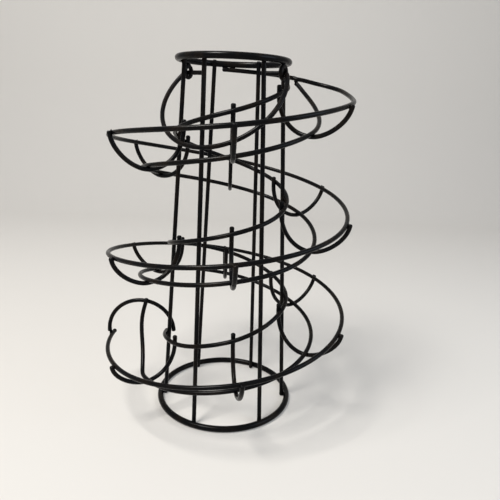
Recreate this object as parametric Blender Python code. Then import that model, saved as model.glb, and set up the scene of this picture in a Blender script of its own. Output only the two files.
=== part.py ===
"""Rolling egg dispenser: a spiral wire track round a tapering wire cage.

A black wire rack for the kitchen counter.  Six posts stand between a wide foot
ring and a narrow top ring.  Fifteen U shaped ribs carry three rails that wind
down round the cage, so that eggs put in at the top roll down to the end stop.
A carrying handle swings in two eyes under the top ring.

Azimuths are in degrees, seen from above, with 270 at the front.  The track runs
down clockwise, so its azimuths fall from about 100 to about -900.
"""

import math

import bpy
import bmesh
import numpy as np

# Stock
WIRE = 0.0034
RING_WIRE = 0.0050
SEAT_GAP = 0.0003
FLOOR_GAP = 0.0005

# Cage
RING_TOP_HEIGHT = 0.3060
FOOT_RING_RADIUS = 0.0604
TOP_RING_RADIUS = 0.0443
POST_PROUD = 0.0005

# Azimuths of each post's foot and head: the posts stand about a sixth of a turn
# apart, with the small errors and twist of welding by hand
POST_AZIMUTHS = ((-3.0, -5.0), (60.0, 57.0), (120.0, 114.5), (182.0, 175.0), (243.0, 237.0), (305.0, 304.0))

# Track
TRACK_RADIUS_FOOT = 0.1092
TRACK_RADIUS_TOP = 0.0968
TRACK_END_HEIGHT = 0.0575
CHANNEL_INSET = 0.0261
CHANNEL_DEPTH = 0.0220
INNER_RISE = 0.0100

# The rails' heights down the track.  Each row holds an azimuth, then the share of
# the whole fall that the outer rail has lost there, the inner rail's share of its
# rise above the outer rail, and the bottom rail's share of the channel's depth
TRACK_SHARES = (
    (103.0, 0.000, 0.65, 0.00),
    (75.0, 0.004, 0.65, 0.00),
    (52.0, 0.010, 0.65, 0.00),
    (38.0, 0.021, 0.65, 0.00),
    (30.0, 0.036, 0.65, 0.18),
    (15.0, 0.060, 0.65, 0.45),
    (-5.0, 0.090, 0.75, 0.70),
    (-30.0, 0.113, 0.85, 0.93),
    (-90.0, 0.175, 0.80, 1.04),
    (-150.0, 0.218, 0.50, 1.15),
    (-210.0, 0.278, 0.45, 1.18),
    (-270.0, 0.349, 0.50, 1.09),
    (-330.0, 0.428, 0.70, 1.00),
    (-390.0, 0.507, 0.90, 1.05),
    (-450.0, 0.563, 0.85, 1.00),
    (-510.0, 0.615, 0.70, 0.97),
    (-570.0, 0.688, 1.05, 0.90),
    (-630.0, 0.758, 1.15, 0.90),
    (-690.0, 0.820, 0.95, 1.02),
    (-750.0, 0.880, 1.15, 1.00),
    (-810.0, 0.941, 0.95, 0.92),
    (-870.0, 0.992, 0.90, 0.82),
    (-909.0, 1.000, 0.40, 0.80),
)

# Ribs, and how far round each one stands off the even spacing
FIRST_RIB_AZIMUTH = -30.0
RIB_SPACING = 60.0
RIB_SHIFTS = (0.0, 1.0, -1.0, 0.0, 0.0, 0.5, 9.0, 3.0, 2.0, 1.0, 2.0, 3.5, 3.0, 7.0, 3.5)
OUTER_TIP = 0.0030
INNER_TIP = 0.0055
OUTER_SQUARENESS = 1.65
INNER_SQUARENESS = 2.10

# Mouth of the track, where the rails gather under the top ring
OUTER_START_AZIMUTH = 103.0
OUTER_LEAVES_RING_AZIMUTH = 90.0
MOUTH_BEND_RADIUS = 0.0280
INNER_START_AZIMUTH = 17.0
BOTTOM_START_AZIMUTH = 38.0

# End stop
OUTER_END_AZIMUTH = -907.5
INNER_END_AZIMUTH = -909.0
STOP_POST = 4
STOP_TURNS = 3
STOP_ARCH_SPRING = 0.0055
STOP_ARCH_HEIGHT = 0.0295
STOP_ARCH_SIDE = 0.0029
STOP_BAR_START_AZIMUTH = -872.0
STOP_BAR_TIP = 0.0028
STOP_BAR_LEAN = 0.0080
STOP_BAR_SWAY = 0.0020
STOP_BAR_SWEEP = 1.15

# Handle
EYE_RADIUS = 0.0045
EYE_RUN_GAP = 0.0004
HANDLE_AZIMUTH = 330.0
HANDLE_HALF_WIDTH = 0.0472
HANDLE_REACH = 0.0765
HANDLE_BEND = 0.0030
HANDLE_STUB = 0.0202
HANDLE_FOLD_TILT = 47.5

# Facets
WIRE_FACET_STEPS = 2
RING_SIDES = 10
RING_STEPS = 72
RAIL_STEP = 7.5
RIB_ARC_STEPS = 7
EYE_STEPS = 20
HANDLE_STEPS = 26
BEND_STEPS = 4
STOP_ARCH_STEPS = 16
STOP_BAR_STEPS = 16

# Finish
COAT_COLOUR = (0.022, 0.022, 0.024, 1.0)
COAT_ROUGHNESS = 0.42
COAT_METALLIC = 0.35

RING_FLAT = 0.5 * RING_WIRE * math.cos(math.pi / RING_SIDES)
TOP_RING_HEIGHT = RING_TOP_HEIGHT - RING_FLAT
UNDER_TOP_RING = TOP_RING_HEIGHT - RING_FLAT - SEAT_GAP - 0.5 * WIRE
TOUCH = WIRE + SEAT_GAP


def clear_scene():
    """Remove every object that the scene starts with."""
    for thing in list(bpy.data.objects):
        bpy.data.objects.remove(thing, do_unlink=True)


def coat(name):
    """One black powder-coat material for a piece."""
    material = bpy.data.materials.new(name + "_coat")
    material.use_nodes = True
    shader = material.node_tree.nodes["Principled BSDF"]
    shader.inputs["Base Color"].default_value = COAT_COLOUR
    shader.inputs["Roughness"].default_value = COAT_ROUGHNESS
    shader.inputs["Metallic"].default_value = COAT_METALLIC
    return material


def polar(radius, azimuth, height):
    """A point from its distance to the cage's axis, its azimuth and its height."""
    angle = math.radians(azimuth)
    return np.array([radius * math.cos(angle), radius * math.sin(angle), height])


def wire(name, points, closed=False):
    """A round wire along the points, as a bevelled curve with filled ends."""
    curve = bpy.data.curves.new(name, "CURVE")
    curve.dimensions = "3D"
    curve.bevel_depth = 0.5 * WIRE
    curve.bevel_resolution = WIRE_FACET_STEPS
    curve.use_fill_caps = True
    spline = curve.splines.new("POLY")
    spline.points.add(len(points) - 1)
    for knot, point in zip(spline.points, points):
        knot.co = (point[0], point[1], point[2], 1.0)
    spline.use_cyclic_u = closed
    spline.use_smooth = True
    curve.materials.append(coat(name))
    piece = bpy.data.objects.new(name, curve)
    bpy.context.collection.objects.link(piece)
    return piece


def ring(name, radius, height):
    """A ring of thick wire, turned from a many-sided section with a flat underside."""
    shape = bmesh.new()
    section = []
    for side in range(RING_SIDES):
        angle = 2.0 * math.pi * (side + 0.5) / RING_SIDES - 0.5 * math.pi
        across = 0.5 * RING_WIRE * math.cos(angle)
        up = 0.5 * RING_WIRE * math.sin(angle)
        section.append(shape.verts.new((radius + across, 0.0, up)))
    edges = [shape.edges.new((section[k], section[(k + 1) % RING_SIDES])) for k in range(RING_SIDES)]
    bmesh.ops.spin(shape, geom=edges, axis=(0.0, 0.0, 1.0), cent=(0.0, 0.0, 0.0),
                   angle=2.0 * math.pi, steps=RING_STEPS, use_merge=True)
    bmesh.ops.recalc_face_normals(shape, faces=shape.faces)
    mesh = bpy.data.meshes.new(name)
    shape.to_mesh(mesh)
    shape.free()
    mesh.shade_smooth()
    mesh.materials.append(coat(name))
    piece = bpy.data.objects.new(name, mesh)
    piece.location = (0.0, 0.0, height)
    bpy.context.collection.objects.link(piece)
    return piece


def post_radius(height):
    """Distance from the axis to a post's centre line: a straight taper between the rings."""
    inset = 0.5 * RING_WIRE + SEAT_GAP + 0.5 * WIRE
    return FOOT_RING_RADIUS - inset + (TOP_RING_RADIUS - FOOT_RING_RADIUS) * height / RING_TOP_HEIGHT


def post_azimuth(number, height):
    """Azimuth of a post at a height: it runs straight from its foot to its head."""
    foot, head = POST_AZIMUTHS[number - 1]
    return foot + (head - foot) * height / RING_TOP_HEIGHT


def inner_radius(height):
    """The inner rail lies against the outside of the posts."""
    return post_radius(height) + TOUCH


def track_radius(height):
    """The outer rail's distance from the axis, which tapers as the cage does."""
    return TRACK_RADIUS_FOOT + (TRACK_RADIUS_TOP - TRACK_RADIUS_FOOT) * height / RING_TOP_HEIGHT


def track_share(azimuth, column):
    """One column of the track's table at an azimuth, on a smooth curve that never overshoots.

    The curve is a cubic between neighbouring rows.  Its slope at a row is the harmonic mean
    of the slopes on both sides, or level where the column turns back.
    """
    rows = np.array(TRACK_SHARES)[::-1]
    place, share = rows[:, 0], rows[:, column]
    rise = np.diff(share) / np.diff(place)
    before, after = rise[:-1], rise[1:]
    together = before * after > 0.0
    inner_slope = np.zeros(len(before))
    inner_slope[together] = 2.0 * (before * after)[together] / (before + after)[together]
    slope = np.concatenate(([rise[0]], inner_slope, [rise[-1]]))
    k = min(max(int(np.searchsorted(place, azimuth)) - 1, 0), len(place) - 2)
    span = place[k + 1] - place[k]
    t = (azimuth - place[k]) / span
    return (share[k] * (1.0 + 2.0 * t) * (1.0 - t) ** 2 + share[k + 1] * (3.0 - 2.0 * t) * t ** 2
            + span * (slope[k] * t * (1.0 - t) ** 2 - slope[k + 1] * (1.0 - t) * t ** 2))


def outer_height(azimuth):
    """Height of the outer rail, which starts against the underside of the top ring."""
    return UNDER_TOP_RING + (TRACK_END_HEIGHT - UNDER_TOP_RING) * track_share(azimuth, 1)


def inner_height(azimuth):
    """Height of the inner rail, a little above the outer one."""
    return outer_height(azimuth) + INNER_RISE * track_share(azimuth, 2)


def bottom_height(azimuth):
    """Height of the bottom rail, which starts just under the outer rail and drops to its depth."""
    return outer_height(azimuth) - TOUCH - (CHANNEL_DEPTH - TOUCH) * track_share(azimuth, 3)


def mouth_radius(azimuth):
    """The outer rail's plan at the mouth: the ring, a straight tangent, a bend, the track's circle."""
    full = track_radius(outer_height(azimuth))
    reach = full - MOUTH_BEND_RADIUS
    opening = math.degrees(math.acos((TOP_RING_RADIUS - MOUTH_BEND_RADIUS) / reach))
    joins_track = OUTER_LEAVES_RING_AZIMUTH - opening
    if azimuth >= OUTER_LEAVES_RING_AZIMUTH:
        return TOP_RING_RADIUS
    if azimuth <= joins_track:
        return full
    straight = TOP_RING_RADIUS / math.cos(math.radians(OUTER_LEAVES_RING_AZIMUTH - azimuth))
    turn = math.radians(azimuth - joins_track)
    chord = MOUTH_BEND_RADIUS ** 2 - (reach * math.sin(turn)) ** 2
    if chord <= 0.0:
        return straight
    return min(straight, reach * math.cos(turn) + math.sqrt(chord))


def azimuths(start, end):
    """Azimuths from start down to end, on the rail step, with both ends."""
    steps = np.arange(math.floor(start / RAIL_STEP) * RAIL_STEP, end, -RAIL_STEP)
    inside = [a for a in steps if start - 0.4 * RAIL_STEP > a > end + 0.4 * RAIL_STEP]
    return [start] + inside + [end]


def outer_rail():
    """Outer rail: from under the top ring, out to the track's edge and down to the end stop."""
    points = []
    for azimuth in azimuths(OUTER_START_AZIMUTH, OUTER_END_AZIMUTH):
        points.append(polar(mouth_radius(azimuth), azimuth, outer_height(azimuth)))
    return wire("outer_rail", points)


def inner_rail():
    """Inner rail: winds down on the outside of the posts."""
    points = []
    for azimuth in azimuths(INNER_START_AZIMUTH, INNER_END_AZIMUTH):
        height = inner_height(azimuth)
        points.append(polar(inner_radius(height), azimuth, height))
    return wire("inner_rail", points)


def bottom_radius(azimuth):
    """Distance from the axis to the bottom rail."""
    return track_radius(outer_height(azimuth)) - CHANNEL_INSET


def stop_azimuth(radius, height):
    """Azimuth of the end arch's plane: the arch stands against the side of its post."""
    clear = math.degrees(math.asin(TOUCH / radius))
    return post_azimuth(STOP_POST, height) - clear - 360.0 * STOP_TURNS


def stop_arch():
    """The end arch's azimuth, its outer and inner distances from the axis and its springing height."""
    spring = TRACK_END_HEIGHT + STOP_ARCH_SPRING
    inner = post_radius(spring) - TOUCH
    crossing = spring + 0.5 * STOP_ARCH_HEIGHT
    azimuth = stop_azimuth(post_radius(crossing), crossing)
    outer = track_radius(outer_height(azimuth)) + STOP_ARCH_SIDE
    return azimuth, outer, inner, spring


def end_arch():
    """End arch: half an ellipse in an upright plane, from the outer rail's end to a post's side.

    The cut foot of its outer leg rests on the upper outer side of the rail.
    """
    azimuth, outer, inner, spring = stop_arch()
    rest = math.sqrt((0.5 * WIRE + SEAT_GAP) ** 2 - (STOP_ARCH_SIDE - 0.5 * WIRE) ** 2)
    points = [polar(outer, azimuth, outer_height(azimuth) + rest)]
    for turn in np.linspace(0.0, math.pi, STOP_ARCH_STEPS + 1):
        radius = inner + 0.5 * (outer - inner) * (1.0 + math.cos(turn))
        points.append(polar(radius, azimuth, spring + STOP_ARCH_HEIGHT * math.sin(turn)))
    return wire("end_arch", points)


def stop_bar_points():
    """The bottom rail's end: it sweeps up from the channel to the front of the end arch."""
    arch_azimuth, outer, inner, spring = stop_arch()
    radius = bottom_radius(STOP_BAR_START_AZIMUTH)
    foot = bottom_height(STOP_BAR_START_AZIMUTH)
    top_radius = radius - STOP_BAR_LEAN
    across = (2.0 * top_radius - outer - inner) / (outer - inner)
    top = spring + STOP_ARCH_HEIGHT * math.sqrt(1.0 - across ** 2) + STOP_BAR_TIP
    end_azimuth = arch_azimuth + math.degrees(math.asin(TOUCH / top_radius))
    points = []
    for t in np.linspace(0.0, 1.0, STOP_BAR_STEPS + 1)[1:]:
        azimuth = STOP_BAR_START_AZIMUTH + (end_azimuth - STOP_BAR_START_AZIMUTH) * math.sin(0.5 * math.pi * t)
        sway = STOP_BAR_LEAN * t + STOP_BAR_SWAY * math.sin(2.0 * math.pi * t)
        points.append(polar(radius - sway, azimuth, foot + (top - foot) * t ** STOP_BAR_SWEEP))
    return points


def bottom_rail():
    """Bottom rail: starts under the outer rail at the mouth and sweeps up at its end as a stop bar."""
    points = []
    for azimuth in azimuths(BOTTOM_START_AZIMUTH, STOP_BAR_START_AZIMUTH):
        points.append(polar(bottom_radius(azimuth), azimuth, bottom_height(azimuth)))
    return wire("bottom_rail", points + stop_bar_points())


def rib_profile(azimuth):
    """A rib's outline as distances from the axis and heights: two quarter curves under the rails."""
    level = outer_height(azimuth)
    inner_level = inner_height(azimuth)
    outer = track_radius(level) + TOUCH
    inner = inner_radius(inner_level) - TOUCH
    lowest = bottom_radius(azimuth)
    floor = bottom_height(azimuth) - TOUCH
    profile = [(outer, level + OUTER_TIP)]
    for turn in np.linspace(0.0, 0.5 * math.pi, RIB_ARC_STEPS + 1):
        across = max(math.cos(turn), 0.0) ** (2.0 / OUTER_SQUARENESS)
        down = math.sin(turn) ** (2.0 / OUTER_SQUARENESS)
        profile.append((lowest + (outer - lowest) * across, level + (floor - level) * down))
    for turn in np.linspace(0.5 * math.pi, 0.0, RIB_ARC_STEPS + 1)[1:]:
        across = max(math.cos(turn), 0.0) ** (2.0 / INNER_SQUARENESS)
        down = math.sin(turn) ** (2.0 / INNER_SQUARENESS)
        profile.append((lowest + (inner - lowest) * across, inner_level + (floor - inner_level) * down))
    profile.append((inner, inner_level + INNER_TIP))
    return profile


def rib(number):
    """One U rib, drawn in its own upright plane through the axis."""
    azimuth = FIRST_RIB_AZIMUTH - RIB_SPACING * (number - 1) + RIB_SHIFTS[number - 1]
    piece = wire("rib_%02d" % number, [(out, 0.0, height) for out, height in rib_profile(azimuth)])
    piece.rotation_euler = (0.0, 0.0, math.radians(azimuth))
    return piece


def post(number):
    """One straight post, from just above the floor to just above the top ring."""
    foot, head = POST_AZIMUTHS[number - 1]
    top = RING_TOP_HEIGHT + POST_PROUD
    points = [polar(post_radius(FLOOR_GAP), foot, FLOOR_GAP), polar(post_radius(top), head, top)]
    return wire("post_%d" % number, points)


def eye_height():
    """Height of the eyes' centres: they hang against the underside of the top ring."""
    return UNDER_TOP_RING - EYE_RADIUS


def pivot_height():
    """Height of the handle's pivot: its stubs lie at the bottom of the eyes."""
    return eye_height() - (EYE_RADIUS - WIRE - EYE_RUN_GAP)


def handle_eye(name, azimuth):
    """One eye: a closed loop of wire that faces outwards under the top ring."""
    points = []
    for k in range(EYE_STEPS):
        turn = 2.0 * math.pi * k / EYE_STEPS
        points.append((0.0, EYE_RADIUS * math.cos(turn), EYE_RADIUS * math.sin(turn)))
    piece = wire(name, points, closed=True)
    piece.location = polar(TOP_RING_RADIUS, azimuth, eye_height())
    piece.rotation_euler = (0.0, 0.0, math.radians(azimuth))
    return piece


def carry_handle():
    """Handle: a round bow whose ends turn inwards through the eyes, folded down on the track.

    The bow is an arc through the pivot line at half the handle's width and through its reach.
    A bend, tangent to the arc and to the pivot line, leads into each straight stub.
    """
    half, reach, bend = HANDLE_HALF_WIDTH, HANDLE_REACH, HANDLE_BEND
    bow = (half ** 2 + reach ** 2) / (2.0 * reach)
    centre = reach - bow
    bend_start = math.sqrt((bow - bend) ** 2 - (centre - bend) ** 2)
    bow_start = math.atan2(bend - centre, bend_start)
    right = [(half - HANDLE_STUB, 0.0)]
    for turn in np.linspace(-0.5 * math.pi, bow_start, BEND_STEPS + 1)[:-1]:
        right.append((bend_start + bend * math.cos(turn), bend + bend * math.sin(turn)))
    arc = []
    for turn in np.linspace(bow_start, math.pi - bow_start, HANDLE_STEPS + 1):
        arc.append((bow * math.cos(turn), centre + bow * math.sin(turn)))
    left = [(-across, out) for across, out in reversed(right)]
    piece = wire("carry_handle", [(across, -out, 0.0) for across, out in right + arc + left])
    piece.location = (0.0, 0.0, pivot_height())
    piece.rotation_euler = (math.radians(HANDLE_FOLD_TILT), 0.0, math.radians(HANDLE_AZIMUTH))
    return piece


def main():
    """Build every piece of the dispenser."""
    clear_scene()
    ring("foot_ring", FOOT_RING_RADIUS, RING_FLAT)
    ring("top_ring", TOP_RING_RADIUS, TOP_RING_HEIGHT)
    for number in range(1, len(POST_AZIMUTHS) + 1):
        post(number)
    outer_rail()
    inner_rail()
    bottom_rail()
    for number in range(1, len(RIB_SHIFTS) + 1):
        rib(number)
    end_arch()
    handle_eye("handle_eye_right", HANDLE_AZIMUTH)
    handle_eye("handle_eye_left", HANDLE_AZIMUTH - 180.0)
    carry_handle()


main()
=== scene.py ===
"""Looks of a rolling egg dispenser: a black wire rack with a spiral track.

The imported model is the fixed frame.  Each wire of it is replaced by a round, coated
wire on the same line, with worked ends.  Each place where two wires touch gets its
weld bead, and everything gets a satin black powder coat.

Every wire is a profile carried along a line.  The lines are worked out as whole numpy
arrays from the rack's few driving sizes.  Azimuths are in degrees, seen from above,
with 270 at the front, and the track runs down clockwise, so its azimuths fall.
"""

import math

import bpy
import numpy as np
from mathutils import Matrix, Vector


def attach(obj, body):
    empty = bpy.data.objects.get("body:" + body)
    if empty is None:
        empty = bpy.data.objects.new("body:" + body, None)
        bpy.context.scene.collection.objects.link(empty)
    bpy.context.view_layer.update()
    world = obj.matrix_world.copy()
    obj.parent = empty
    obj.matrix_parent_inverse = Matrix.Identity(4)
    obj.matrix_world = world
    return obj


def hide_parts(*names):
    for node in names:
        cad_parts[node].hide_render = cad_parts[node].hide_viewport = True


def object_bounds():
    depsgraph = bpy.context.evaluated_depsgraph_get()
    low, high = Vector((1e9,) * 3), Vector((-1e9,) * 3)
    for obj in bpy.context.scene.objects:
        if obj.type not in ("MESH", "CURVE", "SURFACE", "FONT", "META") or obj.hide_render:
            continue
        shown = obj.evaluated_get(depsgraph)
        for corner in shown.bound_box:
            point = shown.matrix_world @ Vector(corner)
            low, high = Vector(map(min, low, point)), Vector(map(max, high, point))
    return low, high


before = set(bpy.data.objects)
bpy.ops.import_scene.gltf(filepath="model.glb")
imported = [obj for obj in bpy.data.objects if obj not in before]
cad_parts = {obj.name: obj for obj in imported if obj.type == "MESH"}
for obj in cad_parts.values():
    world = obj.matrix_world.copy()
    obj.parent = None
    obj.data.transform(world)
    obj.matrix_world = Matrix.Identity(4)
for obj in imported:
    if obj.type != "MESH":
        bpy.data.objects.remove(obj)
CAD_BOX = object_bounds()

bl_info = {
    "name": "Spiral Egg Rack",
    "version": (1, 0, 0),
    "blender": (4, 5, 0),
    "location": "View3D > Sidebar > Egg Rack",
    "description": "Dresses a spiral wire egg rack in finished wire, welds and powder coat",
    "category": "Object",
}

# Cage
RING_TOP_HEIGHT = 0.3060
RING_SIDES = 10
FOOT_RING_RADIUS = 0.0604
TOP_RING_RADIUS = 0.0443
POST_PROUD = 0.0005
FLOOR_GAP = 0.0005
SEAT_GAP = 0.0003

# Azimuths of each post's foot and head
POST_AZIMUTHS = (
    (-3.0, -5.0),
    (60.0, 57.0),
    (120.0, 114.5),
    (182.0, 175.0),
    (243.0, 237.0),
    (305.0, 304.0),
)

# Track
TRACK_RADIUS_FOOT = 0.1092
TRACK_RADIUS_TOP = 0.0968
TRACK_END_HEIGHT = 0.0575
OUTER_RAIL_INSET = 0.00026
CHANNEL_INSET = 0.0261
CHANNEL_DEPTH = 0.0220
INNER_RISE = 0.0100

# The rails' heights down the track.  Each row holds an azimuth, then the share of
# the whole fall that the outer rail has lost there, the inner rail's share of its
# rise above the outer rail, and the bottom rail's share of the channel's depth
TRACK_SHARES = (
    (103.0, 0.000, 0.65, 0.00),
    (75.0, 0.004, 0.65, 0.00),
    (52.0, 0.010, 0.65, 0.00),
    (38.0, 0.021, 0.65, 0.00),
    (30.0, 0.036, 0.65, 0.18),
    (15.0, 0.060, 0.65, 0.45),
    (-5.0, 0.090, 0.75, 0.70),
    (-30.0, 0.113, 0.85, 0.93),
    (-90.0, 0.175, 0.80, 1.04),
    (-150.0, 0.218, 0.50, 1.15),
    (-210.0, 0.278, 0.45, 1.18),
    (-270.0, 0.349, 0.50, 1.09),
    (-330.0, 0.428, 0.70, 1.00),
    (-390.0, 0.507, 0.90, 1.05),
    (-450.0, 0.563, 0.85, 1.00),
    (-510.0, 0.615, 0.70, 0.97),
    (-570.0, 0.688, 1.05, 0.90),
    (-630.0, 0.758, 1.15, 0.90),
    (-690.0, 0.820, 0.95, 1.02),
    (-750.0, 0.880, 1.15, 1.00),
    (-810.0, 0.941, 0.95, 0.92),
    (-870.0, 0.992, 0.90, 0.82),
    (-909.0, 1.000, 0.40, 0.80),
)
OUTER_FALL, INNER_LIFT, BOTTOM_DROP = 1, 2, 3

# Ribs
FIRST_RIB_AZIMUTH = -30.0
RIB_SPACING = 60.0
RIB_SHIFTS = (0.0, 1.0, -1.0, 0.0, 0.0, 0.5, 9.0, 3.0, 2.0, 1.0, 2.0, 3.5, 3.0, 7.0, 3.5)
OUTER_TIP = 0.0013
INNER_TIP = 0.0055
OUTER_SQUARENESS = 1.65
INNER_SQUARENESS = 2.10

# Mouth of the track
OUTER_START_AZIMUTH = 103.0
OUTER_LEAVES_RING_AZIMUTH = 90.0
STEEPEST_TANGENT = 89.0
MOUTH_BEND_RADIUS = 0.0280
INNER_START_AZIMUTH = 17.0
BOTTOM_START_AZIMUTH = 38.0

# End stop
OUTER_END_AZIMUTH = -907.5
INNER_END_AZIMUTH = -909.0
STOP_POST = 4
STOP_TURNS = 3
STOP_ARCH_SPRING = 0.0055
STOP_ARCH_HEIGHT = 0.0295
STOP_ARCH_SIDE = 0.0025
STOP_BAR_START_AZIMUTH = -872.0
STOP_BAR_TIP = 0.0042
STOP_BAR_LEAN = 0.0080
STOP_BAR_SWAY = 0.0020
STOP_BAR_SWEEP = 1.15

# Handle
EYE_RADIUS = 0.0045
EYE_RUN_GAP = 0.0004
HANDLE_AZIMUTH = 330.0
EYE_AZIMUTHS = {"handle_eye_right": HANDLE_AZIMUTH, "handle_eye_left": HANDLE_AZIMUTH - 180.0}
HANDLE_HALF_WIDTH = 0.0472
HANDLE_REACH = 0.0765
HANDLE_BEND = 0.0030
HANDLE_STUB = 0.0202
HANDLE_FOLD_TILT = 47.5

# Steps of the lines and surfaces, and how many times a line is smoothed
RAIL_STEP = 1.5
CORNER_POINTS = 32
POST_POINTS = 60
RAIL_SMOOTHING = 6
RIB_SMOOTHING = 3
WIRE_SIDES = 20
RING_SIDES_SHOWN = 28
TIP_RINGS = 6
SWELL_RINGS = 7
BEAD_SIDES = 24
BEAD_RINGS = 9
WELD_STEP = 0.0005
WELD_WINDOW = 8

# Welds: how far beyond touching two wires may be, and where a weld's rim lies on a wire
WELD_SLACK = 0.0009
RIM_SIDE_SHARE = 0.90
RIM_SUNK_SHARE = 0.04
BEAD_UNEVEN_SHARE = 0.10
MOUTH_WELD_AZIMUTHS = (100.0, 91.0)

# Coat: sizes of its patches, and how much it varies, as shares
MOTTLE_SIZE = 0.014
SMUDGE_SIZE = 0.0035
GRAIN_SIZE_SHARE = 0.25
GRAIN_HEIGHT_SHARE = 0.22
# The mottle's range over which the painted warm reflection fades in, as shares
REFLECTION_FROM_SHARE = 0.46
REFLECTION_TO_SHARE = 0.66
MOTTLE_ROUGHNESS_SHARE = 0.16
SMUDGE_ROUGHNESS_SHARE = 0.14

# Places of the outputs that are used on nodes that have several
OBJECT_COORDINATES = 3
MIXED_COLOUR = 2
CAMERA_RAY = 0
GLOSSY_RAY = 3
TRANSMISSION_RAY = 6

# Floor and backdrop
FLOOR_NEAR = -1.6
FLOOR_FAR = 0.75
FLOOR_BEND = 0.35
BACKDROP_HEIGHT = 1.6
FLOOR_HALF_WIDTH = 2.6

# Each lamp's place, size and colour
KEY_LAMP = ((-0.50, -0.45, 1.30), 0.4, (1.0, 0.97, 0.92))
FILL_LAMP = ((0.9, -0.35, 0.6), 0.6, (0.72, 0.84, 1.0))

# Camera, worked out from the photograph: metres, degrees and, for its sensor, millimetres
CAMERA_PLACE = (0.0, -0.4275, 0.2696)
CAMERA_YAW = 2.62
CAMERA_PITCH = 16.18
CAMERA_ROLL = 2.46
CAMERA_FOCAL_SHARE = 0.997
CAMERA_SENSOR = 36.0
CAMERA_NEAREST = 0.01


class EggRackWire(bpy.types.PropertyGroup):
    """Sizes of the wire, its cut ends and its welds."""

    wire: bpy.props.FloatProperty(
        name="Wire", description="Diameter of the rack's bare wire",
        default=0.0034, min=0.001, unit="LENGTH")
    ring_wire: bpy.props.FloatProperty(
        name="Ring wire", description="Diameter of the thicker bare wire of both rings",
        default=0.0050, min=0.001, unit="LENGTH")
    coat: bpy.props.FloatProperty(
        name="Coat", description="Thickness of the powder coat on every wire",
        default=0.00015, min=0.0, unit="LENGTH")
    tip_round: bpy.props.FloatProperty(
        name="Tip rounding", description="Radius of the coated edge round a cut end",
        default=0.0013, min=0.0, unit="LENGTH")
    tip_swell: bpy.props.FloatProperty(
        name="Tip swell", description="How much thicker the coat makes a wire at its cut end",
        default=0.00012, min=0.0, unit="LENGTH")
    swell_reach: bpy.props.FloatProperty(
        name="Swell reach", description="How far from the end the thicker coat fades out",
        default=0.0030, min=0.0001, unit="LENGTH")
    weld_sink: bpy.props.FloatProperty(
        name="Weld sink",
        description="How far a rib is pressed towards the rail that it is welded to",
        default=0.0005, min=0.0, unit="LENGTH")
    bead_reach: bpy.props.FloatProperty(
        name="Weld reach", description="How far a weld runs along each wire from its middle",
        default=0.0026, min=0.0, unit="LENGTH")
    bead_waist: bpy.props.FloatProperty(
        name="Weld waist", description="How much of its rim a weld keeps at its narrowest",
        default=0.62, min=0.1, max=1.0, subtype="FACTOR")


class EggRackCoat(bpy.types.PropertyGroup):
    """Look of the powder coat."""

    colour: bpy.props.FloatVectorProperty(
        name="Coat", description="Colour of the powder coat",
        default=(0.0028, 0.0030, 0.0037), size=3, min=0.0, max=1.0, subtype="COLOR")
    # Colour of a painted warm reflection, which the coat gets in random patches
    warm_reflection_colour: bpy.props.FloatVectorProperty(
        name="Thin coat", description="Colour where the coat lies thin over the steel",
        default=(0.0085, 0.0062, 0.0048), size=3, min=0.0, max=1.0, subtype="COLOR")
    roughness: bpy.props.FloatProperty(
        name="Roughness", description="Roughness of the satin coat",
        default=0.25, min=0.0, max=1.0, subtype="FACTOR")
    gloss: bpy.props.FloatProperty(
        name="Gloss",
        description="Strength of the coat's reflections, where 0.5 is plain lacquer",
        default=0.08, min=0.0, max=1.0, subtype="FACTOR")
    peel_size: bpy.props.FloatProperty(
        name="Orange peel", description="Distance from one ripple of the coat to the next",
        default=0.0020, min=0.0001, unit="LENGTH")
    peel_depth: bpy.props.FloatProperty(
        name="Peel depth", description="Height of the coat's ripples",
        default=0.000025, min=0.0, unit="LENGTH")


class EggRackStage(bpy.types.PropertyGroup):
    """Floor, backdrop and light."""

    floor_colour: bpy.props.FloatVectorProperty(
        name="Floor", description="Colour of the plain floor and backdrop",
        default=(0.74, 0.72, 0.69), size=3, min=0.0, max=1.0, subtype="COLOR")
    even_share: bpy.props.FloatProperty(
        name="Even background",
        description="How much of the floor's colour the camera sees without its shading",
        default=0.28, min=0.0, max=1.0, subtype="FACTOR")
    distance_colour: bpy.props.FloatVectorProperty(
        name="Distance", description="Colour seen past the edge of the paper",
        default=(0.54, 0.53, 0.51), size=3, min=0.0, max=1.0, subtype="COLOR")
    room_colour: bpy.props.FloatVectorProperty(
        name="Room", description="Colour of the soft light from all round",
        default=(0.84, 0.90, 1.0), size=3, min=0.0, max=1.0, subtype="COLOR")
    room_strength: bpy.props.FloatProperty(
        name="Room strength", description="Strength of the soft light from all round",
        default=0.10, min=0.0)
    key_power: bpy.props.FloatProperty(
        name="Key", description="Power of the soft lamp at the upper left",
        default=24.0, min=0.0, unit="POWER")
    fill_power: bpy.props.FloatProperty(
        name="Fill", description="Power of the soft lamp at the upper right",
        default=3.5, min=0.0, unit="POWER")


def wire_sizes():
    """The scene's wire sizes."""
    return bpy.context.scene.egg_rack_wire


def thin_radius():
    """Radius of a coated wire."""
    return 0.5 * wire_sizes().wire + wire_sizes().coat


def thick_radius():
    """Radius of a ring's coated wire."""
    return 0.5 * wire_sizes().ring_wire + wire_sizes().coat


def polar(radius, azimuth, height):
    """Points from their distances to the cage's axis, their azimuths and their heights."""
    angle = np.radians(azimuth)
    x, y = radius * np.cos(angle), radius * np.sin(angle)
    return np.stack(np.broadcast_arrays(x, y, height), axis=-1)


def touch():
    """Distance between the lines of two wires that are welded together."""
    return wire_sizes().wire + SEAT_GAP


def pressed():
    """Distance between the lines of a rib and the rail that it is pressed into."""
    return touch() - wire_sizes().weld_sink


def ring_flat():
    """Half the height of a CAD ring, whose section has flat sides."""
    return 0.5 * wire_sizes().ring_wire * math.cos(math.pi / RING_SIDES)


def top_ring_height():
    """Height of the top ring's line."""
    return RING_TOP_HEIGHT - ring_flat()


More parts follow.
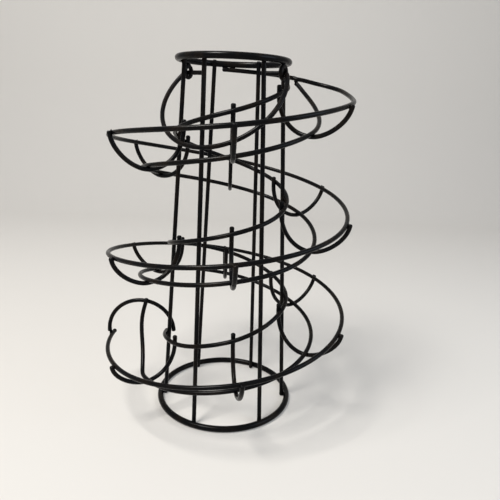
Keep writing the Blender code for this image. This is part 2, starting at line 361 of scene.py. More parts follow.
def under_top_ring():
    """Height of a wire that lies against the underside of the top ring."""
    return top_ring_height() - ring_flat() - SEAT_GAP - 0.5 * wire_sizes().wire


def post_radius(height):
    """Distance from the axis to a post's line: a straight taper between the rings."""
    inset = 0.5 * wire_sizes().ring_wire + SEAT_GAP + 0.5 * wire_sizes().wire
    taper = (TOP_RING_RADIUS - FOOT_RING_RADIUS) * height / RING_TOP_HEIGHT
    return FOOT_RING_RADIUS - inset + taper


def post_azimuth(number, height):
    """Azimuth of a post at a height."""
    foot, head = POST_AZIMUTHS[number - 1]
    return foot + (head - foot) * height / RING_TOP_HEIGHT


def inner_radius(height):
    """Distance from the axis to the inner rail, which lies against the outside of the posts."""
    return post_radius(height) + touch()


def track_radius(height):
    """Distance from the axis to the outer rail, which tapers as the cage does."""
    return TRACK_RADIUS_FOOT + (TRACK_RADIUS_TOP - TRACK_RADIUS_FOOT) * height / RING_TOP_HEIGHT


def track_share(azimuth, column):
    """One column of the track's table at azimuths, on cubics that never overshoot.

    Between two rows a and b, at t from 0 to 1, the share is the cubic with both rows'
    values and slopes.  A row's slope is the harmonic mean of the slopes on both sides,
    or level where the column turns back.
    """
    rows = np.array(TRACK_SHARES)[::-1]
    place, share = rows[:, 0], rows[:, column]
    rise = np.diff(share) / np.diff(place)
    before, after = rise[:-1], rise[1:]
    together = before * after > 0.0
    total = np.where(together, before + after, 1.0)
    inner_slopes = np.where(together, 2.0 * before * after / total, 0.0)
    slope = np.concatenate(([rise[0]], inner_slopes, [rise[-1]]))
    k = np.clip(np.searchsorted(place, azimuth) - 1, 0, len(place) - 2)
    span = place[k + 1] - place[k]
    t = (azimuth - place[k]) / span
    return (share[k] * (1.0 + 2.0 * t) * (1.0 - t) ** 2 + share[k + 1] * (3.0 - 2.0 * t) * t ** 2
            + span * (slope[k] * t * (1.0 - t) ** 2 - slope[k + 1] * (1.0 - t) * t ** 2))


def outer_height(azimuth):
    """Height of the outer rail."""
    fall = under_top_ring() - TRACK_END_HEIGHT
    return under_top_ring() - fall * track_share(azimuth, OUTER_FALL)


def inner_height(azimuth):
    """Height of the inner rail."""
    return outer_height(azimuth) + INNER_RISE * track_share(azimuth, INNER_LIFT)


def bottom_height(azimuth):
    """Height of the bottom rail."""
    drop = (CHANNEL_DEPTH - touch()) * track_share(azimuth, BOTTOM_DROP)
    return outer_height(azimuth) - touch() - drop


def mouth_radius(azimuth):
    """Distance from the axis to the outer rail: the ring's, a tangent's, a bend's, then the track's.

    Along the tangent it is the ring's radius over the cosine of the angle turned.  The bend
    is a circle that touches the tangent and lies within the track's circle.
    """
    full = track_radius(outer_height(azimuth))
    reach = full - MOUTH_BEND_RADIUS
    opening = np.degrees(np.arccos((TOP_RING_RADIUS - MOUTH_BEND_RADIUS) / reach))
    joins_track = OUTER_LEAVES_RING_AZIMUTH - opening
    off_ring = np.minimum(OUTER_LEAVES_RING_AZIMUTH - azimuth, STEEPEST_TANGENT)
    straight = TOP_RING_RADIUS / np.cos(np.radians(off_ring))
    turn = np.radians(azimuth - joins_track)
    chord = MOUTH_BEND_RADIUS ** 2 - (reach * np.sin(turn)) ** 2
    bend = reach * np.cos(turn) + np.sqrt(np.maximum(chord, 0.0))
    radius = np.where(chord > 0.0, np.minimum(straight, bend), straight)
    radius = np.where(azimuth <= joins_track, full, radius)
    return np.where(azimuth >= OUTER_LEAVES_RING_AZIMUTH, TOP_RING_RADIUS, radius)


def azimuths(start, end):
    """Even azimuths from start down to end, close to the rail step."""
    return np.linspace(start, end, 1 + int(round((start - end) / RAIL_STEP)))


def outer_line():
    """Outer rail: its distances and heights at even azimuths.

    It is drawn in a little, so that the rack with its coat is no wider than the frame.
    """
    azimuth = azimuths(OUTER_START_AZIMUTH, OUTER_END_AZIMUTH)
    return polar(mouth_radius(azimuth) - OUTER_RAIL_INSET, azimuth, outer_height(azimuth))


def inner_line():
    """Inner rail: a helix on the outside of the posts."""
    azimuth = azimuths(INNER_START_AZIMUTH, INNER_END_AZIMUTH)
    height = inner_height(azimuth)
    return polar(inner_radius(height), azimuth, height)


def bottom_radius(azimuth):
    """Distance from the axis to the bottom rail."""
    return track_radius(outer_height(azimuth)) - CHANNEL_INSET


def stop_arch():
    """The end arch's azimuth, its outer and inner distances from the axis and its lowest height."""
    spring = TRACK_END_HEIGHT + STOP_ARCH_SPRING
    inner = post_radius(spring) - touch()
    crossing = spring + 0.5 * STOP_ARCH_HEIGHT
    clear = math.degrees(math.asin(touch() / post_radius(crossing)))
    azimuth = post_azimuth(STOP_POST, crossing) - clear - 360.0 * STOP_TURNS
    outer = track_radius(outer_height(azimuth)) + STOP_ARCH_SIDE
    return azimuth, outer, inner, spring


def arch_line():
    """End arch: a straight foot, then half an ellipse over the channel's end.

    Over half a turn, the way across is the cosine and the way up is the sine.
    """
    azimuth, outer, inner, spring = stop_arch()
    wire = wire_sizes().wire
    rest = math.sqrt((0.5 * wire + SEAT_GAP) ** 2 - (STOP_ARCH_SIDE - 0.5 * wire) ** 2)
    turn = np.linspace(0.0, math.pi, 2 * CORNER_POINTS)
    radius = inner + 0.5 * (outer - inner) * (1.0 + np.cos(turn))
    arch = polar(radius, azimuth, spring + STOP_ARCH_HEIGHT * np.sin(turn))
    foot = polar(outer, azimuth, outer_height(azimuth) + rest)
    return np.concatenate((foot[None], arch))


def stop_bar_line():
    """The bottom rail's end, swept up past the arch as t goes from 0 to 1.

    The azimuth follows the sine of a quarter turn of t and the height a power of t.  The
    distance leans in evenly, with a sway that follows the sine of a whole turn.
    """
    arch_azimuth, outer, inner, spring = stop_arch()
    radius = bottom_radius(STOP_BAR_START_AZIMUTH)
    foot = bottom_height(STOP_BAR_START_AZIMUTH)
    top_radius = radius - STOP_BAR_LEAN
    across = (2.0 * top_radius - outer - inner) / (outer - inner)
    top = spring + STOP_ARCH_HEIGHT * math.sqrt(1.0 - across ** 2) + STOP_BAR_TIP
    end_azimuth = arch_azimuth + math.degrees(math.asin(touch() / top_radius))
    swing = end_azimuth - STOP_BAR_START_AZIMUTH
    t = np.linspace(0.0, 1.0, 2 * CORNER_POINTS)[1:]
    azimuth = STOP_BAR_START_AZIMUTH + swing * np.sin(0.5 * math.pi * t)
    sway = STOP_BAR_LEAN * t + STOP_BAR_SWAY * np.sin(2.0 * math.pi * t)
    return polar(radius - sway, azimuth, foot + (top - foot) * t ** STOP_BAR_SWEEP)


def bottom_line():
    """Bottom rail: a helix under the channel, then the stop bar."""
    azimuth = azimuths(BOTTOM_START_AZIMUTH, STOP_BAR_START_AZIMUTH)
    track = polar(bottom_radius(azimuth), azimuth, bottom_height(azimuth))
    return smoothed(np.concatenate((track, stop_bar_line())), RAIL_SMOOTHING)


def smoothed(line, passes):
    """The line with each inner point drawn halfway to the middle of its neighbours, in a few passes."""
    line = line.copy()
    for _ in range(passes):
        line[1:-1] = 0.5 * line[1:-1] + 0.25 * (line[:-2] + line[2:])
    return line


def rib_azimuth(number):
    """Azimuth of a rib."""
    return FIRST_RIB_AZIMUTH - RIB_SPACING * (number - 1) + RIB_SHIFTS[number - 1]


def rib_line(number):
    """A U rib in its upright plane: two superellipse quarters with short straight tips.

    Along a quarter, the way across is cos(turn) and the way down is sin(turn), each to
    the power of two over the quarter's squareness.
    """
    azimuth = rib_azimuth(number)
    level, inner_level = outer_height(azimuth), inner_height(azimuth)
    outer = track_radius(level) + pressed()
    inner = inner_radius(inner_level) - pressed()
    lowest = bottom_radius(azimuth)
    floor = bottom_height(azimuth) - pressed()
    turn = np.linspace(0.0, 0.5 * math.pi, CORNER_POINTS)
    across, down = np.maximum(np.cos(turn), 0.0), np.sin(turn)
    outer_power, inner_power = 2.0 / OUTER_SQUARENESS, 2.0 / INNER_SQUARENESS
    out = np.concatenate((
        [outer],
        lowest + (outer - lowest) * across ** outer_power,
        (lowest + (inner - lowest) * across ** inner_power)[-2::-1],
        [inner]))
    height = np.concatenate((
        [level + OUTER_TIP],
        level + (floor - level) * down ** outer_power,
        (inner_level + (floor - inner_level) * down ** inner_power)[-2::-1],
        [inner_level + INNER_TIP]))
    return smoothed(even(polar(out, azimuth, height)), RIB_SMOOTHING)


def even(line, points=2 * CORNER_POINTS):
    """The line with its points spaced evenly along it."""
    along = distance_along(line)
    return between(along, line, np.linspace(0.0, along[-1], points))


def post_line(number):
    """A straight post, from just above the floor to just above the top ring."""
    height = np.array((FLOOR_GAP, RING_TOP_HEIGHT + POST_PROUD))
    foot, head = polar(post_radius(height), POST_AZIMUTHS[number - 1], height)
    return foot + (head - foot) * np.linspace(0.0, 1.0, POST_POINTS)[:, None]


def ring_line(radius, height):
    """A closed circle round the cage's axis."""
    azimuth = np.arange(0.0, 360.0, 2.0 * RAIL_STEP)
    return polar(radius, azimuth, np.full_like(azimuth, height))


def eye_height():
    """Height of the eyes' middles."""
    return under_top_ring() - EYE_RADIUS


def eye_line(azimuth):
    """An eye: a circle in an upright plane square to the radius, hung under the top ring."""
    turn = np.linspace(0.0, 2.0 * math.pi, 2 * CORNER_POINTS, endpoint=False)
    middle = polar(TOP_RING_RADIUS, azimuth, eye_height())
    side = polar(1.0, azimuth + 90.0, 0.0)
    up = np.array((0.0, 0.0, 1.0))
    return middle + EYE_RADIUS * (np.cos(turn)[:, None] * side + np.sin(turn)[:, None] * up)


def handle_line():
    """The handle: a bow, two tight bends and two straight stubs, tilted down about the pivot line.

    The bow is an arc through the pivot line at half the width and through the reach.
    Each bend is an arc tangent to the bow and to the pivot line.
    """
    half, reach, bend = HANDLE_HALF_WIDTH, HANDLE_REACH, HANDLE_BEND
    bow = (half ** 2 + reach ** 2) / (2.0 * reach)
    centre = reach - bow
    bend_start = math.sqrt((bow - bend) ** 2 - (centre - bend) ** 2)
    bow_start = math.atan2(bend - centre, bend_start)
    turn = np.linspace(-0.5 * math.pi, bow_start, CORNER_POINTS)[:-1]
    across = np.concatenate(([half - HANDLE_STUB], bend_start + bend * np.cos(turn)))
    out = np.concatenate(([0.0], bend + bend * np.sin(turn)))
    arc = np.linspace(bow_start, math.pi - bow_start, 4 * CORNER_POINTS)
    across = np.concatenate((across, bow * np.cos(arc), -across[::-1]))
    out = np.concatenate((out, centre + bow * np.sin(arc), out[::-1]))
    tilt = math.radians(HANDLE_FOLD_TILT)
    side = polar(1.0, HANDLE_AZIMUTH, 0.0)
    ahead = polar(math.cos(tilt), HANDLE_AZIMUTH - 90.0, -math.sin(tilt))
    pivot = np.array((0.0, 0.0, eye_height() - (EYE_RADIUS - wire_sizes().wire - EYE_RUN_GAP)))
    return pivot + across[:, None] * side + out[:, None] * ahead


def unit(vectors):
    """The vectors, each scaled to a length of one."""
    return vectors / np.linalg.norm(vectors, axis=-1, keepdims=True)


def tangents(line, closed):
    """The direction of the line at each point, from its neighbours."""
    if closed:
        return unit(np.roll(line, -1, axis=0) - np.roll(line, 1, axis=0))
    return unit(np.gradient(line, axis=0))


def grid_faces(rings, sides, wraps):
    """Faces of rings of points: quads between rings, and unless they wrap, a fan to a pole at each end.

    The poles' indices come after those of the rings.
    """
    index = np.arange(rings * sides).reshape(rings, sides)
    below = index if wraps else index[:-1]
    above = np.roll(index, -1, axis=0) if wraps else index[1:]
    quads = np.stack((below, np.roll(below, -1, axis=1), np.roll(above, -1, axis=1), above), axis=-1)
    fans = np.empty((0, 3), dtype=int)
    if not wraps:
        head = np.stack((np.roll(index[0], -1), index[0], np.full(sides, index.size)), axis=-1)
        tail = np.stack((index[-1], np.roll(index[-1], -1), np.full(sides, index.size + 1)), axis=-1)
        fans = np.concatenate((head, tail))
    return quads.reshape(-1, 4), fans


def smooth_mesh(name, vertices, quads, fans):
    """A smoothly shaded mesh from arrays of points, quads and triangles."""
    mesh = bpy.data.meshes.new(name)
    mesh.from_pydata(vertices.tolist(), [], quads.tolist() + fans.tolist())
    mesh.shade_smooth()
    return mesh


def distance_along(line):
    """How far along the line each of its points lies."""
    return np.concatenate(([0.0], np.cumsum(np.linalg.norm(np.diff(line, axis=0), axis=1))))


def between(along, rows, places):
    """Rows of three numbers, known at distances along a line, read off at other distances."""
    return np.stack([np.interp(places, along, rows[:, k]) for k in range(3)], axis=1)


def ring_places(along):
    """How far along an open wire its rings of points lie: close together near both ends.

    Over the rounding of an end they follow one less the cosine of a quarter turn, over its
    swell they are even, and between the swells they are the line's own points.
    """
    sizes = wire_sizes()
    length, reach = along[-1], sizes.tip_round + sizes.swell_reach
    turn = np.linspace(0.0, 0.5 * math.pi, TIP_RINGS)
    over_rounding = sizes.tip_round * (1.0 - np.cos(turn))
    over_swell = sizes.tip_round + sizes.swell_reach * np.arange(1, SWELL_RINGS) / SWELL_RINGS
    near = np.concatenate((over_rounding, over_swell))
    middle = along[(along > reach) & (along < length - reach)]
    return np.concatenate((near, middle, length - near[::-1]))


def tipped_radii(from_end, radius):
    """Radius of an open wire at distances from its nearer end.

    It is the wire's radius, plus a swell that fades as the square of a cosine away from
    the end, and within the rounding of the end it follows a quarter circle.
    """
    sizes = wire_sizes()
    fade = np.clip((from_end - sizes.tip_round) / sizes.swell_reach, 0.0, 1.0)
    into = np.clip(1.0 - from_end / sizes.tip_round, 0.0, 1.0)
    radii = radius + sizes.tip_swell * np.cos(0.5 * math.pi * fade) ** 2
    return radii - sizes.tip_round * (1.0 - np.sqrt(1.0 - into ** 2))


def wire_piece(name, line, across, radius, closed):
    """A round wire: a circle carried along a line.

    Point (s, u) = line(s) + r(s) (cos u n(s) + sin u b(s)), where n is the given direction
    made square to the line, and b is square to both.  r(s) is the wire's radius, which
    changes only near the ends of an open wire.
    """
    across = np.broadcast_to(across, line.shape)
    ahead = tangents(line, closed)
    radii, poles = np.full(len(line), radius), np.empty((0, 3))
    if not closed:
        along = distance_along(line)
        places = ring_places(along)
        line, ahead, across = (between(along, rows, places) for rows in (line, ahead, across))
        radii = tipped_radii(np.minimum(places, along[-1] - places), radius)
        poles = np.stack((line[0], line[-1]))
    ahead = unit(ahead)
    normal = unit(across - (across * ahead).sum(axis=1, keepdims=True) * ahead)
    other = np.cross(ahead, normal)
    count = WIRE_SIDES if radius < thick_radius() else RING_SIDES_SHOWN
    turn = 2.0 * math.pi * np.arange(count) / count
    circle = np.cos(turn)[:, None] * normal[:, None] + np.sin(turn)[:, None] * other[:, None]
    points = line[:, None] + radii[:, None, None] * circle
    vertices = np.concatenate((points.reshape(-1, 3), poles))
    return finished(name, smooth_mesh(name, vertices, *grid_faces(len(line), count, closed)))


def finished(name, mesh):
    """An object for a finished mesh, at the origin, in the coat."""
    mesh.materials.append(powder_coat())
    piece = bpy.data.objects.new(name, mesh)
    bpy.context.scene.collection.objects.link(piece)
    return piece


def outward(line):
    """The direction away from the cage's axis at each point of a line."""
    return unit(line * np.array((1.0, 1.0, 0.0)))


def contacts(line_a, line_b, reach):
    """Where two lines pass each other within reach.

    The distance from each point of the second line to the nearest of the first is taken,
    and a contact is where that distance is the least for some points to both sides.
    """
    apart = np.linalg.norm(line_a[:, None] - line_b[None], axis=2)
    least = apart.min(axis=0)
    padded = np.pad(least, WELD_WINDOW, constant_values=np.inf)
    around = np.lib.stride_tricks.sliding_window_view(padded, 2 * WELD_WINDOW + 1).min(axis=1)
    here = np.flatnonzero((least < reach) & (least == around))
    return apart.argmin(axis=0)[here], here


def rim(angle, radius, gap):
    """The rim of a weld on a wire, as a distance and a height for each angle from the wire's line.

    The rim's plan is an ellipse that is longest along the wire.  Its height, from halfway
    across the gap between the wires, is that of the wire's round surface there.
    """
    reach, side = wire_sizes().bead_reach, RIM_SIDE_SHARE * radius
    distance = 1.0 / np.sqrt((np.cos(angle) / reach) ** 2 + (np.sin(angle) / side) ** 2)
    sunk = (1.0 - RIM_SUNK_SHARE) * radius
    surface = np.sqrt(np.maximum(sunk ** 2 - (distance * np.sin(angle)) ** 2, 0.0))
    return distance, radius + 0.5 * gap - surface


def bead_points(place_a, ahead_a, radius_a, place_b, ahead_b, radius_b, seed):
    """One weld between two wires, as rings of points and then two poles.

    It is a spool whose two rims lie on the two wires.  Between the rims, the plan shrinks
    by a parabola to the waist and the heights change evenly, so it meets both wires in a
    soft fillet.  The seed makes each weld fuller on one side, by its own amount.  No point
    is lower than the posts' feet.
    """
    up = unit(place_a - place_b)
    gap = np.linalg.norm(place_a - place_b) - radius_a - radius_b
    middle = place_b + up * (radius_b + 0.5 * gap)
    east = unit(ahead_a - (ahead_a @ up) * up)
    north = np.cross(up, east)
    slant = math.atan2(ahead_b @ north, ahead_b @ east)
    turn = 2.0 * math.pi * np.arange(BEAD_SIDES) / BEAD_SIDES
    uneven = 1.0 + BEAD_UNEVEN_SHARE * math.sin(seed ** 2) * np.cos(turn - seed)
    wide_a, high_a = rim(turn, radius_a, gap)
    wide_b, high_b = rim(turn - slant, radius_b, gap)
    t = np.linspace(0.0, 1.0, BEAD_RINGS)[:, None]
    waist = 1.0 - (1.0 - wire_sizes().bead_waist) * (1.0 - (2.0 * t - 1.0) ** 2)
    wide = (wide_b + (wide_a - wide_b) * t) * waist * uneven
    high = -high_b + (high_a + high_b) * t
    rings = (middle + wide[..., None] * (np.cos(turn)[:, None] * east + np.sin(turn)[:, None] * north)
             + high[..., None] * up)
    poles = np.stack((middle - up * (radius_b + 0.5 * gap), middle + up * (radius_a + 0.5 * gap)))
    points = np.concatenate((rings.reshape(-1, 3), poles))
    return np.maximum(points, (-np.inf, -np.inf, FLOOR_GAP))


def weld_piece(name, welds):
    """All the welds of one kind as one piece: each is a closed spool of its own."""
    if not welds:
        raise RuntimeError("no wires touch where %s should be" % name)
    points = np.stack([bead_points(*weld, seed) for seed, weld in enumerate(welds)])
    quads, fans = grid_faces(BEAD_RINGS, BEAD_SIDES, False)
    starts = points.shape[1] * np.arange(len(points))[:, None, None]
    quads, fans = (quads + starts).reshape(-1, 4), (fans + starts).reshape(-1, 3)
    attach(finished(name, smooth_mesh(name, points.reshape(-1, 3), quads, fans)), "rack")


def fine_steps(line, closed):
    """The line as points about a weld step apart, and its direction at each."""
    if closed:
        line = np.concatenate((line, line[:1]))
    line = even(line, 1 + int(distance_along(line)[-1] / WELD_STEP))
    return line, tangents(line, False)


def welds_between(line_a, radius_a, line_b, radius_b, closed_a=False):
    """What each weld between two lines needs: the place, direction and radius of both wires."""
    reach = radius_a + radius_b + WELD_SLACK
    line_a, ahead_a = fine_steps(line_a, closed_a)
    line_b, ahead_b = fine_steps(line_b, False)
    return [(line_a[a], ahead_a[a], radius_a, line_b[b], ahead_b[b], radius_b)
            for a, b in zip(*contacts(line_a, line_b, reach))]


def ring_underside_weld(azimuth):
    """A weld between the top ring and a wire that runs along its underside."""
    along = polar(1.0, azimuth + 90.0, 0.0)
    return (polar(TOP_RING_RADIUS, azimuth, top_ring_height()), along, thick_radius(),
            polar(TOP_RING_RADIUS, azimuth, under_top_ring()), along, thin_radius())


class Value:
    """A shader value.  Arithmetic on it adds Math nodes to its tree."""

    def __init__(self, shader, socket):
        self.shader = shader
        self.socket = socket

    def _math(self, operation, *values):
        return self.shader.node("ShaderNodeMath", {"operation": operation}, dict(enumerate(values)))[0]

    def __add__(self, other):
        return self._math("ADD", self, other)

    def __sub__(self, other):
        return self._math("SUBTRACT", self, other)

    def __mul__(self, other):
        return self._math("MULTIPLY", self, other)

    def __rsub__(self, other):
        return self._math("SUBTRACT", other, self)

    __radd__ = __add__
    __rmul__ = __mul__


class Shader:
    """The node tree of a material or of a world."""

    def __init__(self, owner):
        owner.use_nodes = True
        self.tree = owner.node_tree
        self.tree.nodes.clear()

    def node(self, kind, settings=None, inputs=None):
        """Add a node: its type, then its settings, then the values or links of its sockets."""
        node = self.tree.nodes.new(kind)
        for name, value in (settings or {}).items():
            setattr(node, name, value)
        for name, value in (inputs or {}).items():
            if isinstance(value, Value):
                self.tree.links.new(value.socket, node.inputs[name])
            else:
                node.inputs[name].default_value = value
        return [Value(self, socket) for socket in node.outputs]


def powder_coat():
    """Satin black powder coat: orange peel, faint smudges, and a painted warm reflection in random
    patches.
    """
    known = bpy.data.materials.get("black_powder_coat")
    if known:
        return known
    look = bpy.context.scene.egg_rack_coat
    material = bpy.data.materials.new("black_powder_coat")
    shader = Shader(material)
    place = shader.node("ShaderNodeTexCoord")[OBJECT_COORDINATES]

    def noise(size, detail, roughness=0.5):
        """A noise whose ripples are about size apart."""
        return shader.node("ShaderNodeTexNoise", {"noise_dimensions": "3D"}, {
            "Vector": place, "Scale": 1.0 / size, "Detail": detail, "Roughness": roughness})[0]

    peel = noise(look.peel_size, detail=1.0)
    grain = noise(GRAIN_SIZE_SHARE * look.peel_size, detail=2.0)
    mottle = noise(MOTTLE_SIZE, detail=3.0)
    smudge = noise(SMUDGE_SIZE, detail=4.0, roughness=0.6)
    # Random patches of painted warm reflection, laid by the mottle
    thin = shader.node("ShaderNodeMapRange", {"clamp": True}, {
        "Value": mottle, "From Min": REFLECTION_FROM_SHARE, "From Max": REFLECTION_TO_SHARE,
        "To Min": 0.0, "To Max": 1.0})[0]
    # The coat's colour, with the painted warm reflection mixed in over those patches
    colour = shader.node("ShaderNodeMix", {"data_type": "RGBA", "blend_type": "MIX"}, {
        "Factor": thin, "A": (*look.colour, 1.0), "B": (*look.warm_reflection_colour, 1.0)})[MIXED_COLOUR]
    roughness = ((mottle - 0.5) * MOTTLE_ROUGHNESS_SHARE + (smudge - 0.5) * SMUDGE_ROUGHNESS_SHARE
                 + look.roughness)
    height = peel + grain * GRAIN_HEIGHT_SHARE
    bump = shader.node("ShaderNodeBump", None, {
        "Strength": 1.0, "Distance": look.peel_depth, "Height": height})[0]
    surface = shader.node("ShaderNodeBsdfPrincipled", None, {
        "Base Color": colour, "Roughness": roughness, "Metallic": 0.0,
        "Specular IOR Level": look.gloss, "Normal": bump})[0]
    shader.node("ShaderNodeOutputMaterial", None, {"Surface": surface})
    return material


def replace_wire(node, line, across, radius, body="rack", closed=False):
    """A finished wire that stands for a CAD node and moves with its body."""
    piece = wire_piece(node + "_wire", line, across, radius, closed)
    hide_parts(node)
    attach(piece, body)


class EGGRACK_OT_rings(bpy.types.Operator):
    """Make the foot ring and the top ring."""

    bl_idname = "egg_rack.rings"
    bl_label = "Rings"

    def execute(self, context):
        radius = thick_radius()
        up = (0.0, 0.0, 1.0)
        foot = ring_line(FOOT_RING_RADIUS, radius)
        top = ring_line(TOP_RING_RADIUS, top_ring_height())
        replace_wire("foot_ring", foot, up, radius, closed=True)
        replace_wire("top_ring", top, up, radius, closed=True)
        return {"FINISHED"}


class EGGRACK_OT_posts(bpy.types.Operator):
    """Make the six posts."""

    bl_idname = "egg_rack.posts"
    bl_label = "Posts"

    def execute(self, context):
        for number in range(1, len(POST_AZIMUTHS) + 1):
            line = post_line(number)
            replace_wire("post_%d" % number, line, outward(line), thin_radius())
        return {"FINISHED"}


class EGGRACK_OT_track(bpy.types.Operator):
    """Make the three rails and the end arch."""

    bl_idname = "egg_rack.track"
    bl_label = "Track"

    def execute(self, context):
        radius = thin_radius()
        rails = {"outer_rail": outer_line(), "inner_rail": inner_line(), "bottom_rail": bottom_line()}
        for name, line in rails.items():
            replace_wire(name, line, outward(line), radius)
        azimuth, *_ = stop_arch()
        replace_wire("end_arch", arch_line(), polar(1.0, azimuth + 90.0, 0.0), radius)
        return {"FINISHED"}


class EGGRACK_OT_ribs(bpy.types.Operator):
    """Make the U ribs."""

    bl_idname = "egg_rack.ribs"
    bl_label = "Ribs"

    def execute(self, context):
        for number in range(1, len(RIB_SHIFTS) + 1):
            across = polar(1.0, rib_azimuth(number) + 90.0, 0.0)
            replace_wire("rib_%02d" % number, rib_line(number), across, thin_radius())
        return {"FINISHED"}


class EGGRACK_OT_handle(bpy.types.Operator):
    """Make the carrying handle and its two eyes."""

    bl_idname = "egg_rack.handle"
    bl_label = "Handle"

    def execute(self, context):
        radius = thin_radius()
        for name, azimuth in EYE_AZIMUTHS.items():
            replace_wire(name, eye_line(azimuth), polar(1.0, azimuth, 0.0), radius, closed=True)
        tilt = math.radians(HANDLE_FOLD_TILT)
        face = polar(math.sin(tilt), HANDLE_AZIMUTH - 90.0, math.cos(tilt))
        replace_wire("carry_handle", handle_line(), face, radius, body="handle")
        return {"FINISHED"}


class EGGRACK_OT_welds(bpy.types.Operator):
    """Make the weld beads wherever two wires touch."""

    bl_idname = "egg_rack.welds"
    bl_label = "Welds"

    def execute(self, context):
        thin, thick = thin_radius(), thick_radius()
        outer, inner, bottom, arch = outer_line(), inner_line(), bottom_line(), arch_line()
        foot = ring_line(FOOT_RING_RADIUS, ring_flat())
        top = ring_line(TOP_RING_RADIUS, top_ring_height())
        posts = [post_line(number) for number in range(1, len(POST_AZIMUTHS) + 1)]
        ribs = [rib_line(number) for number in range(1, len(RIB_SHIFTS) + 1)]
        for name, rail in (("outer", outer), ("inner", inner), ("bottom", bottom)):
            weld_piece("rib_welds_" + name, [
                weld for rib in ribs for weld in welds_between(rib, thin, rail, thin)])
        for name, ring in (("foot", foot), ("top", top)):
            weld_piece(name + "_ring_welds", [
                weld for post in posts for weld in welds_between(ring, thick, post, thin, True)])
        weld_piece("post_welds", [
            weld for post in posts for weld in welds_between(post, thin, inner, thin)])
        weld_piece("stop_welds", (
            welds_between(outer, thin, arch, thin)
            + welds_between(posts[STOP_POST - 1], thin, arch, thin)
            + welds_between(arch, thin, bottom, thin)))
        underside = (*MOUTH_WELD_AZIMUTHS, *EYE_AZIMUTHS.values())
        weld_piece("ring_underside_welds", (
            [ring_underside_weld(azimuth) for azimuth in underside]
            + welds_between(outer, thin, bottom[:CORNER_POINTS], thin)))
        return {"FINISHED"}


def seen_rays(shader):
    """One for rays from the camera, reflections and glass, and zero for rays that carry light."""
    rays = shader.node("ShaderNodeLightPath")
    return rays[CAMERA_RAY] + rays[GLOSSY_RAY] + rays[TRANSMISSION_RAY]


def floor_paper(look):
    """Plain matt paper, of which the camera and reflections see a share evenly and the rest shaded."""
    material = bpy.data.materials.new("floor_paper")
    shader = Shader(material)
    colour = (*look.floor_colour, 1.0)
    paper = shader.node("ShaderNodeBsdfDiffuse", None, {"Color": colour})[0]
    even_paper = shader.node("ShaderNodeEmission", None, {"Color": colour, "Strength": 1.0})[0]
    share = seen_rays(shader) * look.even_share
    surface = shader.node("ShaderNodeMixShader", None, {0: share, 1: paper, 2: even_paper})[0]
    shader.node("ShaderNodeOutputMaterial", None, {"Surface": surface})
    return material


def floor_sheet(look):
    """Floor and backdrop in one sheet: flat, then a quarter circle, then upright, from side to side.

    Point (u, v) = (u, y(v), z(v)), where (y, z) runs along the floor, round the bend and up.
    """
    turn = np.linspace(0.0, 0.5 * math.pi, CORNER_POINTS)
    y = np.concatenate(([FLOOR_NEAR], FLOOR_FAR + FLOOR_BEND * np.sin(turn), [FLOOR_FAR + FLOOR_BEND]))
    z = np.concatenate(([0.0], FLOOR_BEND * (1.0 - np.cos(turn)), [BACKDROP_HEIGHT]))
    x = np.array((-FLOOR_HALF_WIDTH, FLOOR_HALF_WIDTH))
    points = np.stack(np.broadcast_arrays(x[None, :], y[:, None], z[:, None]), axis=-1)
    rows, columns = points.shape[:2]
    index = np.arange(rows * columns).reshape(rows, columns)
    faces = np.stack((index[:-1, :-1], index[:-1, 1:], index[1:, 1:], index[1:, :-1]), axis=-1)
    mesh = bpy.data.meshes.new("floor")
    mesh.from_pydata(points.reshape(-1, 3).tolist(), [], faces.reshape(-1, 4).tolist())
    mesh.shade_smooth()
    mesh.materials.append(floor_paper(look))
    floor = bpy.data.objects.new("floor", mesh)
    bpy.context.scene.collection.objects.link(floor)


def soft_lamp(name, power, place, size, colour):
    """A square area lamp that faces the rack's middle."""
    lamp = bpy.data.lights.new(name, "AREA")
    lamp.size = size
    lamp.energy = power
    lamp.color = colour
    holder = bpy.data.objects.new(name, lamp)
    middle = 0.5 * (CAD_BOX[0] + CAD_BOX[1])
    holder.location = place
    holder.rotation_euler = (middle - Vector(place)).to_track_quat("-Z", "Y").to_euler()
    bpy.context.scene.collection.objects.link(holder)


def room_light(look):
    """Even soft light from all round, which the camera and reflections see as a plain pale distance."""
    world = bpy.data.worlds.new("room")
    shader = Shader(world)
    light = shader.node("ShaderNodeBackground", None, {
        "Color": (*look.room_colour, 1.0), "Strength": look.room_strength})[0]
    seen = shader.node("ShaderNodeBackground", None, {
        "Color": (*look.distance_colour, 1.0), "Strength": 1.0})[0]
    surface = shader.node("ShaderNodeMixShader", None, {0: seen_rays(shader), 1: light, 2: seen})[0]
    shader.node("ShaderNodeOutputWorld", None, {"Surface": surface})
    bpy.context.scene.world = world


def photo_camera():
    """The camera: its axes are turned from the world's by the yaw, the pitch and the roll."""
    yaw, pitch, roll = (math.radians(angle) for angle in (CAMERA_YAW, CAMERA_PITCH, CAMERA_ROLL))
    ahead = math.cos(pitch)
    forward = Vector((math.sin(yaw) * ahead, math.cos(yaw) * ahead, -math.sin(pitch)))
    level = Vector((math.cos(yaw), -math.sin(yaw), 0.0))
    right = math.cos(roll) * level + math.sin(roll) * level.cross(forward)
    turned = Matrix((right, right.cross(forward), -forward)).transposed().to_4x4()
    turned.translation = Vector(CAMERA_PLACE)
    data = bpy.data.cameras.new("photo_camera")
    data.sensor_width = CAMERA_SENSOR
    data.lens = CAMERA_FOCAL_SHARE * CAMERA_SENSOR
    data.clip_start = CAMERA_NEAREST
    holder = bpy.data.objects.new("photo_camera", data)
    holder.matrix_world = turned
    bpy.context.scene.collection.objects.link(holder)
    bpy.context.scene.camera = holder


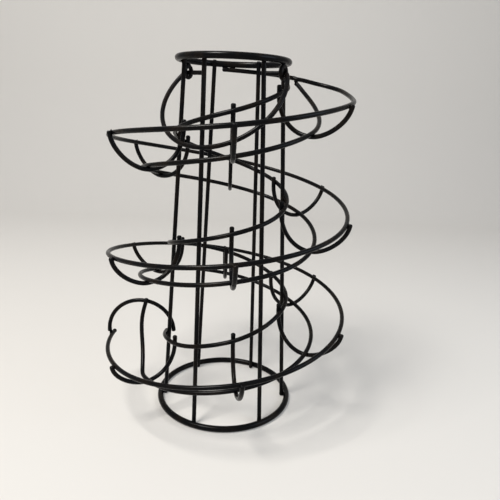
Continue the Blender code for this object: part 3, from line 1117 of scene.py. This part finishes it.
class EGGRACK_OT_stage(bpy.types.Operator):
    """Make the floor and backdrop, the soft lamps, the room's light and the camera."""

    bl_idname = "egg_rack.stage"
    bl_label = "Stage"

    def execute(self, context):
        look = context.scene.egg_rack_stage
        floor_sheet(look)
        soft_lamp("key_lamp", look.key_power, *KEY_LAMP)
        soft_lamp("fill_lamp", look.fill_power, *FILL_LAMP)
        room_light(look)
        photo_camera()
        context.scene.view_settings.view_transform = "Standard"
        return {"FINISHED"}


class EGGRACK_PT_panel(bpy.types.Panel):
    """Lists the rack's groups of pieces, and its sizes and looks."""

    bl_idname = "EGGRACK_PT_panel"
    bl_label = "Egg Rack"
    bl_space_type = "VIEW_3D"
    bl_region_type = "UI"
    bl_category = "Egg Rack"

    def draw(self, context):
        for operator in OPERATORS:
            self.layout.operator(operator.bl_idname)
        scene = context.scene
        for group in (scene.egg_rack_wire, scene.egg_rack_coat, scene.egg_rack_stage):
            box = self.layout.box()
            for name in group.__annotations__:
                box.prop(group, name)


OPERATORS = (EGGRACK_OT_rings, EGGRACK_OT_posts, EGGRACK_OT_track, EGGRACK_OT_ribs,
             EGGRACK_OT_handle, EGGRACK_OT_welds, EGGRACK_OT_stage)
GROUPS = (EggRackWire, EggRackCoat, EggRackStage)


def register():
    """Register the classes and hang the settings on the scene."""
    for item in GROUPS + OPERATORS + (EGGRACK_PT_panel,):
        bpy.utils.register_class(item)
    bpy.types.Scene.egg_rack_wire = bpy.props.PointerProperty(type=EggRackWire)
    bpy.types.Scene.egg_rack_coat = bpy.props.PointerProperty(type=EggRackCoat)
    bpy.types.Scene.egg_rack_stage = bpy.props.PointerProperty(type=EggRackStage)


def unregister():
    """Take the settings off the scene and unregister the classes."""
    del bpy.types.Scene.egg_rack_stage
    del bpy.types.Scene.egg_rack_coat
    del bpy.types.Scene.egg_rack_wire
    for item in reversed(GROUPS + OPERATORS + (EGGRACK_PT_panel,)):
        bpy.utils.unregister_class(item)


def main():
    """Make every piece and the stage."""
    register()
    bpy.ops.egg_rack.rings()
    bpy.ops.egg_rack.posts()
    bpy.ops.egg_rack.track()
    bpy.ops.egg_rack.ribs()
    bpy.ops.egg_rack.handle()
    bpy.ops.egg_rack.welds()
    bpy.ops.egg_rack.stage()


if __name__ == "__main__":
    main()
